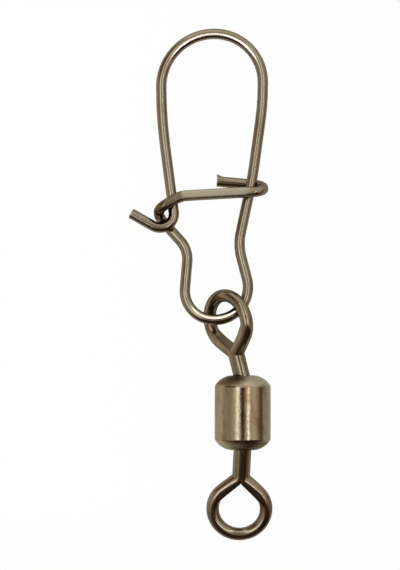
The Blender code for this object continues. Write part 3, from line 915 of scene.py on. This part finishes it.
group.links.new(calculate(group, "MULTIPLY", mask, given["Share"]), result["Mask"])
painted_highlight_line = group
print("group:", painted_highlight_line.name)

# %% [markdown]
# One function builds the plated metal from four of the groups, and each piece gives it its own values.
# Roughness varies with the streaks and the thin patches. The bump adds the lines, the mottle, the dents
# and the lumps, each with its depth in thousandths of a millimetre. The shader's edge tint is how the
# metal looks at a low angle. It is dark on the wires, because their plating is worn and brown.

# %% Plated metal
MICRON = 0.001 * MM
WORN_MOST = 1.6


def new_metal(name, edge_tint):
    """An empty metal, its node tree and its shader."""
    material = bpy.data.materials.new(name)
    material.use_nodes = True
    shader = material.node_tree.nodes["Principled BSDF"]
    shader.inputs["Metallic"].default_value = 1.0
    shader.inputs["Specular Tint"].default_value = edge_tint
    return material, material.node_tree, shader


def relief(tree, heights):
    """A bump from pairs of a height and its depth in microns."""
    total = 0.0
    for height, depth in heights:
        total = calculate(tree, "ADD", total, calculate(tree, "MULTIPLY", height, depth))
    bump = {"Strength": 1.0, "Distance": MICRON, "Height": total}
    return add_node(tree, "ShaderNodeBump", bump).outputs[0]


def plated_surface(tree, place, look):
    """Colour, roughness and bump of dark nickel at a place, with one piece's own values."""
    nickel = place_group(tree, dark_nickel, {
        "Place": place, "Plating": look["plating"], "Thin Plating": look["thin plating"],
        "Patches per mm": look["patches per mm"], "Patches": look["patches"], "Mottle": look["mottle"],
    })
    lines = place_group(tree, drawing_lines, {"Place": place, "Lines per mm": look["lines per mm"]})
    dents = place_group(tree, small_dents, {"Place": place, "Dents per mm": look["dents per mm"]})
    lumps = place_group(tree, low_lumps, {
        "Place": place, "Lumps per mm": look["lumps per mm"], "Stretch": look["lump stretch"],
    })
    worn = calculate(tree, "ADD", lines["Streaks"], nickel["Thin"])
    roughness = in_range(tree, worn, 0.0, WORN_MOST, look["smoothest"], look["roughest"])
    depths = (look["line depth"], look["grain depth"], look["dent depth"], look["lump depth"])
    heights = (lines["Height"], nickel["Mottle"], dents["Height"], lumps["Height"])
    return nickel["Colour"], roughness, relief(tree, zip(heights, depths))


print("plated metal ready")

# %% [markdown]
# The wires take their place from the attribute that holds the straight wire, so every line and patch
# follows the bends. Their sheared ends are bare and rough, the pressed crossbar is paler and duller than
# round wire, and the curl is painted dark brown as shade. The other attributes find them. A pale painted
# highlight runs along the top of the wire at the loop's crown and at the link. The eye the snap hangs in
# is browner than the rest, since it is rubbed most.

# %% Metal of the wires
BARE_CUT = (0.44, 0.37, 0.27, 1)
CUT_ROUGHNESS = 0.42
PRESSED_PLATING = (0.325, 0.292, 0.225, 1)
PRESSED_MOST = 0.85
PRESSED_ROUGHNESS = 0.34
DULLED_ROUGHNESS = 0.28
# A dark brown painted on the curl as shade
CURL_SHADE_PAINT = (0.12, 0.093, 0.052, 1)
CURL_SHADE_MOST = 0.9
# A pale colour painted along the top of the wire as a highlight
PAINTED_HIGHLIGHT_COLOUR = (0.98, 0.93, 0.83, 1)
WIRE_EDGE_TINT = (0.57, 0.54, 0.49, 1)

crown_at = along_at(max)
# Each painted highlight line is the place of its middle, its reach each way in millimetres and its
# roughness
PAINTED_HIGHLIGHT_LINES = ((crown_at, 5.5, 0.4), (link_at, 3.0, 0.1))

WIRE_LOOK = {
    "patches per mm": 0.35, "patches": 0.5, "mottle": 0.25, "lines per mm": 7.0, "dents per mm": 1.1,
    "lumps per mm": 1.6, "lump stretch": 0.5,
    "line depth": 1.2, "grain depth": 0.6, "dent depth": 2.0, "lump depth": 3.0, "painted_highlight": 0.0,
}
SNAP_LOOK = {
    "plating": (0.235, 0.2, 0.148, 1), "thin plating": (0.17, 0.12, 0.07, 1),
    "smoothest": 0.08, "roughest": 0.15, "painted_highlight": 1.0,
}
UPPER_EYE_LOOK = {
    "plating": (0.23, 0.19, 0.135, 1), "thin plating": (0.15, 0.1, 0.055, 1), "patches": 0.8,
    "patches per mm": 0.6, "smoothest": 0.13, "roughest": 0.24,
}
LOWER_EYE_LOOK = {
    "plating": (0.24, 0.2, 0.145, 1), "thin plating": (0.16, 0.11, 0.065, 1), "patches": 0.6,
    "smoothest": 0.11, "roughest": 0.2,
}


def attribute(tree, name, output):
    """One output of an attribute that the mesh carries."""
    return add_node(tree, "ShaderNodeAttribute", {}, attribute_name=name).outputs[output]


def wire_metal(name, look):
    """Dark nickel plated wire with drawing lines along it and bare sheared ends."""
    look = WIRE_LOOK | look
    material, tree, shader = new_metal(name, WIRE_EDGE_TINT)
    drawn = attribute(tree, "drawn", "Vector")
    colour, roughness, bump = plated_surface(tree, drawn, look)
    # Painted highlight: pale colour and some roughness along the top of the wire, at the crown and the
    # link
    for middle, reach, line_roughness in PAINTED_HIGHLIGHT_LINES:
        line = {"Place": drawn, "Middle": middle, "Reach": reach, "Share": look["painted_highlight"]}
        mask = place_group(tree, painted_highlight_line, line)["Mask"]
        colour = blend_colours(tree, mask, colour, PAINTED_HIGHLIGHT_COLOUR)
        painted_highlight = calculate(tree, "MULTIPLY", mask, line_roughness)
        roughness = calculate(tree, "MAXIMUM", roughness, painted_highlight)
    pressed = attribute(tree, "pressed", "Fac")
    pressed_most = calculate(tree, "MULTIPLY", pressed, PRESSED_MOST)
    colour = blend_colours(tree, pressed_most, colour, PRESSED_PLATING)
    # Painted shade: the curl is darkened to brown
    curl_shade_most = calculate(tree, "MULTIPLY", attribute(tree, "curl_shade", "Fac"), CURL_SHADE_MOST)
    colour = blend_colours(tree, curl_shade_most, colour, CURL_SHADE_PAINT)
    cut = attribute(tree, "cut", "Fac")
    colour = blend_colours(tree, cut, colour, BARE_CUT)
    dulled = attribute(tree, "dulled", "Fac")
    for mark, least in ((pressed, PRESSED_ROUGHNESS), (dulled, DULLED_ROUGHNESS), (cut, CUT_ROUGHNESS)):
        roughness = calculate(tree, "MAXIMUM", roughness, calculate(tree, "MULTIPLY", mark, least))
    fill_inputs(tree, shader, {"Base Color": colour, "Roughness": roughness, "Normal": bump})
    return material


snap_metal = wire_metal("snap_plating", SNAP_LOOK)
upper_eye_metal = wire_metal("snap_eye_plating", UPPER_EYE_LOOK)
lower_eye_metal = wire_metal("line_eye_plating", LOWER_EYE_LOOK)
print("wire metals:", snap_metal.name, upper_eye_metal.name, lower_eye_metal.name)

# %% [markdown]
# The barrel has the same plating. It was turned from drawn tube whose outside stayed as it was, so its
# lines run along its length too. Here the object's own coordinates serve as the place, moved to the
# barrel's middle and turned so that their Z runs along it. A tube lies straight and needs no unbending.
# Where the ends were rolled in, the plating is dull. There the left of the upper end and the right of
# the lower one, where the product of two places is negative, are painted brown as shade, and the rest of
# each shoulder is painted pale as light.

# %% Metal of the barrel
# A shoulder's start and end are in millimetres, as places on the metal are, and the fade from painted
# shade to painted light is in square millimetres, as the product of two places is
SHOULDER_FROM = 2.42
SHOULDER_TO = 2.85
SHOULDER_MOST = 0.9
SHOULDER_PAINTED_LIGHT = (0.36, 0.315, 0.23, 1)
SHOULDER_PAINTED_SHADE = (0.085, 0.06, 0.034, 1)
SHOULDER_FADE = 1.8
SHOULDER_ROUGHNESS = 0.42
BARREL_EDGE_TINT = (0.95, 0.9, 0.82, 1)
BARREL_LOOK = {
    "plating": (0.29, 0.238, 0.168, 1), "thin plating": (0.2, 0.125, 0.062, 1),
    "patches per mm": 0.9, "patches": 0.75, "mottle": 0.45, "lines per mm": 5.0, "dents per mm": 0.9,
    "lumps per mm": 5.5, "lump stretch": 0.7,
    "line depth": 3.0, "grain depth": 3.0, "dent depth": 4.0, "lump depth": 9.0,
    "smoothest": 0.09, "roughest": 0.17,
}


def barrel_metal():
    """Dark nickel plated tube, dull where its ends were rolled in, with painted light and shade there."""
    material, tree, shader = new_metal("barrel_plating", BARREL_EDGE_TINT)
    own = add_node(tree, "ShaderNodeTexCoord", {}).outputs["Object"]
    to_middle = (-barrel_middle.x / MM, 0, -barrel_middle.y / MM)
    mapping = {"Location": to_middle, "Rotation": (pi / 2, 0, 0), "Scale": (1 / MM, 1 / MM, 1 / MM)}
    place = add_node(tree, "ShaderNodeMapping", {"Vector": own} | mapping).outputs[0]
    colour, roughness, bump = plated_surface(tree, place, BARREL_LOOK)
    parts = add_node(tree, "ShaderNodeSeparateXYZ", {0: place}).outputs
    from_middle = calculate(tree, "ABSOLUTE", parts["Z"])
    rolled = in_range(tree, from_middle, SHOULDER_FROM, SHOULDER_TO, 0.0, SHOULDER_MOST)
    # Painted shade on the side of each shoulder where the product is negative, painted light on the other
    product = calculate(tree, "MULTIPLY", parts["X"], parts["Z"])
    shaded_side = in_range(tree, product, -SHOULDER_FADE, SHOULDER_FADE, 1.0, 0.0)
    shoulder_light_and_shade = blend_colours(tree, shaded_side, SHOULDER_PAINTED_LIGHT, SHOULDER_PAINTED_SHADE)
    colour = blend_colours(tree, rolled, colour, shoulder_light_and_shade)
    dull = calculate(tree, "MULTIPLY", rolled, SHOULDER_ROUGHNESS)
    roughness = calculate(tree, "MAXIMUM", roughness, dull)
    tree.links.new(calculate(tree, "SUBTRACT", 1.0, rolled), bump.node.inputs["Strength"])
    fill_inputs(tree, shader, {"Base Color": colour, "Roughness": roughness, "Normal": bump})
    return material


finishes = [
    (barrel_piece, barrel_metal(), "barrel_metal"),
    (upper_eye_piece, upper_eye_metal, "upper_eye_metal"),
    (lower_eye_piece, lower_eye_metal, "lower_eye_metal"),
    (snap_piece, snap_metal, "snap_metal"),
]
for piece, finish, slot in finishes:
    piece.data.materials.clear()
    piece.data.materials.append(finish)
    print(piece.name, "is finished in", finish.name)

# %% [markdown]
# The swivel lies on a white table. For the light and for the metal the table is a matt surface with
# painted light and shade: its paint is lighter to the left than to the right, and a painted shadow
# darkens it at the front. The camera sees it as near white, with the swivel's shadow only faintly in
# it. The Light Path node keeps the two apart. Stronger lamps would whiten the table as well, but they
# would bleach the metal too.

# %% The table
TABLE_SIZE = 3.0
TABLE_DROP = 0.03 * MM
TABLE_WHITENESS = 0.96
# Painted light and shade: the table's paint is lighter to the left and darker to the right
TABLE_PAINTED_LIGHT_LEFT = (0.95, 0.93, 0.84, 1)
TABLE_PAINTED_SHADE_RIGHT = (0.6, 0.62, 0.6, 1)
TABLE_FADE = 30 * MM
# A painted shadow darkens the table's paint towards the front
SHADE_FROM = -32 * MM
SHADE_TO = -20 * MM
SHADE_MOST = 0.85
SHADE_PAINT = (0.2, 0.16, 0.12, 1)
WHITE = (1, 1, 1, 1)

table_mesh = bpy.data.meshes.new("white_table")
half_table = TABLE_SIZE / 2
corners = [(x * half_table, y * half_table, -TABLE_DROP) for x, y in ((-1, -1), (1, -1), (1, 1), (-1, 1))]
table_mesh.from_pydata(corners, [], [(0, 1, 2, 3)])
table = bpy.data.objects.new("white_table", table_mesh)
bpy.context.scene.collection.objects.link(table)

table_paint = bpy.data.materials.new("white_table")
table_paint.use_nodes = True
table_tree = table_paint.node_tree
table_tree.nodes.clear()
table_spot = add_node(table_tree, "ShaderNodeTexCoord", {}).outputs["Object"]
table_parts = add_node(table_tree, "ShaderNodeSeparateXYZ", {0: table_spot}).outputs
# The paint carries painted light to the left, painted shade to the right and a painted shadow at the front
to_right = in_range(table_tree, table_parts["X"], -TABLE_FADE, TABLE_FADE)
paint = blend_colours(table_tree, to_right, TABLE_PAINTED_LIGHT_LEFT, TABLE_PAINTED_SHADE_RIGHT)
shade = in_range(table_tree, table_parts["Y"], SHADE_FROM, SHADE_TO, SHADE_MOST, 0.0)
paint = blend_colours(table_tree, shade, paint, SHADE_PAINT)
matt = add_node(table_tree, "ShaderNodeBsdfDiffuse", {"Color": paint})
white = add_node(table_tree, "ShaderNodeEmission", {"Color": WHITE, "Strength": 1.0})
from_camera = add_node(table_tree, "ShaderNodeLightPath", {}).outputs["Is Camera Ray"]
whitened = calculate(table_tree, "MULTIPLY", from_camera, TABLE_WHITENESS)
table_shaders = {0: whitened, 1: matt.outputs[0], 2: white.outputs[0]}
table_shader = add_node(table_tree, "ShaderNodeMixShader", table_shaders)
add_node(table_tree, "ShaderNodeOutputMaterial", {"Surface": table_shader.outputs[0]})
table_mesh.materials.append(table_paint)
print("table:", TABLE_SIZE, "m wide")

# %% [markdown]
# Polished metal shows what stands around it. In a studio that is a pale ceiling, darker towards the
# front, and the dark camera straight above. The world is painted so, by the direction alone. A picture
# of a studio would need a file, and a few soft steps look the same in a wire of 1 mm. One ramp gives
# the brightness from left to right and one from front to back, and they are multiplied. A ramp holds
# numbers up to one, so it stores each brightness as a share of the brightest.

# %% The brightness of the studio
# Each stop is an angle from straight up, in degrees, and the brightness there
SIDEWAYS = [
    (-90, 0.9), (-80, 0.8), (-60, 0.72), (-50, 0.76), (-42, 1.0), (-33, 1.3),
    (24, 1.0), (40, 1.15), (50, 1.2), (58, 0.95), (68, 0.6), (78, 0.22), (84, 0.24), (90, 0.5),
]
FRONT_TO_BACK = [
    (-90, 0.4), (-45, 0.4), (-25, 0.75), (-12, 1.0), (8, 0.95), (28, 0.85), (50, 1.1), (90, 1.6),
]
BRIGHTEST = 2.0

studio = bpy.data.worlds.new("studio")
bpy.context.scene.world = studio
studio.use_nodes = True
studio_tree = studio.node_tree
studio_tree.nodes.clear()
direction = add_node(studio_tree, "ShaderNodeTexCoord", {}).outputs["Generated"]
direction_parts = add_node(studio_tree, "ShaderNodeSeparateXYZ", {0: direction}).outputs


def brightness_ramp(part, stops):
    """Brightness by one part of a direction, from stops given as angles."""
    half = calculate(studio_tree, "ADD", calculate(studio_tree, "MULTIPLY", part, 0.5), 0.5)
    ramp = add_node(studio_tree, "ShaderNodeValToRGB", {0: half})
    elements = ramp.color_ramp.elements
    while len(elements) < len(stops):
        elements.new(1.0)
    for element, (angle, brightness) in zip(elements, stops):
        element.position = (1 + sin(radians(angle))) / 2
        element.color = (*[brightness / BRIGHTEST] * 3, 1)
    return calculate(studio_tree, "MULTIPLY", ramp.outputs[0], BRIGHTEST)


sideways = brightness_ramp(direction_parts["X"], SIDEWAYS)
lengthways = brightness_ramp(direction_parts["Y"], FRONT_TO_BACK)
brightness = calculate(studio_tree, "MULTIPLY", sideways, lengthways)
print("the studio has", len(SIDEWAYS), "steps sideways and", len(FRONT_TO_BACK), "from front to back")

# %% [markdown]
# A studio sets black cards round shiny metal, because their dark reflections show its form. Here there
# are three, at the front, at the right and at the back, besides the camera above. Each is an oval of
# directions in which the brightness falls. Real cards could be modelled, but then every other view
# would show them. The dark parts of a room are warm and its lit paper is neutral, so the colour goes
# from brown to white with the brightness.

# %% The dark shapes and the colour of the studio
# Each shape is its middle and its reach, to the right and to the back, and the brightness left in it
DARK_SHAPES = {
    "camera": ((-0.01, 0.0), (0.16, 0.17), 0.06),
    "front_card": ((0.12, -0.7), (0.8, 0.42), 0.17),
    "right_card": ((0.62, -0.55), (0.35, 0.3), 0.35),
    "back_card": ((-0.6, 0.55), (0.4, 0.3), 0.4),
}
SHAPE_CORE = 0.5
SHAPE_EDGE = 1.3
TINT_FROM = 0.1
TINT_TO = 1.3
DARK_TINT = (1.0, 0.7, 0.48, 1)
PALE_TINT = (1.0, 1.0, 0.93, 1)


def dark_shape(middle, reach, shade_left):
    """A factor that falls to what is left of the brightness inside an oval of directions."""
    squares = []
    for part, centre, size in zip((direction_parts["X"], direction_parts["Y"]), middle, reach):
        away = calculate(studio_tree, "DIVIDE", calculate(studio_tree, "SUBTRACT", part, centre), size)
        squares.append(calculate(studio_tree, "MULTIPLY", away, away))
    distance = calculate(studio_tree, "ADD", *squares)
    return in_range(studio_tree, distance, SHAPE_CORE, SHAPE_EDGE, shade_left, 1.0)


for shape in DARK_SHAPES.values():
    brightness = calculate(studio_tree, "MULTIPLY", brightness, dark_shape(*shape))
paleness = in_range(studio_tree, brightness, TINT_FROM, TINT_TO)
tint = blend_colours(studio_tree, paleness, DARK_TINT, PALE_TINT)
around = add_node(studio_tree, "ShaderNodeBackground", {"Color": tint, "Strength": brightness})
backdrop = add_node(studio_tree, "ShaderNodeBackground", {"Color": WHITE, "Strength": 1.0})
from_camera = add_node(studio_tree, "ShaderNodeLightPath", {}).outputs["Is Camera Ray"]
studio_shaders = {0: from_camera, 1: around.outputs[0], 2: backdrop.outputs[0]}
studio_shader = add_node(studio_tree, "ShaderNodeMixShader", studio_shaders)
add_node(studio_tree, "ShaderNodeOutputWorld", {"Surface": studio_shader.outputs[0]})
print("dark shapes:", *DARK_SHAPES)

# %% [markdown]
# Two long soft lamps hang above, to the left and to the right of the camera. Each draws a bright line
# along the wires and the barrel. A wide fill lamp lights the table between them and is left out of the
# reflections. Their brightness is given as seen in a mirror, and the power follows from it, so a lamp
# can change size and look as bright. Sun lamps would be simpler, but polished metal shows a sun as a
# hard point.

# %% The lamps
LAMP_HEIGHT = 300 * MM
LAMP_TINT = (0.93, 1.0, 1.12)
LAMPS_TO_BACK = 60 * MM
# Each lamp is how far its middle is to the right, its width, its length and its brightness
LAMPS = {
    "left_lamp": (-112 * MM, 72 * MM, 400 * MM, 2.3),
    "right_lamp": (128 * MM, 30 * MM, 400 * MM, 5.0),
    "fill_lamp": (0.0, 600 * MM, 600 * MM, 0.56),
}


def soft_lamp(name, to_right, width, length, brightness):
    """A lamp that faces straight down, as bright as a mirror would show it."""
    lamp = bpy.data.lights.new(name, "AREA")
    lamp.shape = "RECTANGLE"
    lamp.size = width
    lamp.size_y = length
    lamp.color = LAMP_TINT
    lamp.energy = brightness * pi * width * length
    held = bpy.data.objects.new(name, lamp)
    held.location = (to_right, LAMPS_TO_BACK, LAMP_HEIGHT)
    held.visible_camera = False
    bpy.context.scene.collection.objects.link(held)
    print(name, "power, W:", round(lamp.energy, 3))
    return held


lamps = {name: soft_lamp(name, *sizes) for name, sizes in LAMPS.items()}
lamps["fill_lamp"].visible_glossy = False

# %% [markdown]
# The camera looks straight down, from 30 cm with a long lens. At such a small size the distance matters:
# the barrel stands 5 mm closer than the table, and a nearer camera would show it larger. An orthographic
# camera would be easier to aim, but it would show everything at one size.

# %% The camera
CAMERA_PLACE = (-0.046 * MM, -0.067 * MM, 300 * MM)
SEEN_HEIGHT = 54.3 * MM
SENSOR = 36.0

camera_data = bpy.data.cameras.new("camera")
camera_data.sensor_width = SENSOR
camera_data.lens = SENSOR * CAMERA_PLACE[2] / SEEN_HEIGHT
camera = bpy.data.objects.new("camera", camera_data)
camera.location = CAMERA_PLACE
bpy.context.scene.collection.objects.link(camera)
bpy.context.scene.camera = camera
bpy.context.scene.view_settings.view_transform = "Standard"
print("lens, mm:", round(camera_data.lens, 1))

# %% The end
print("the scene is set up")
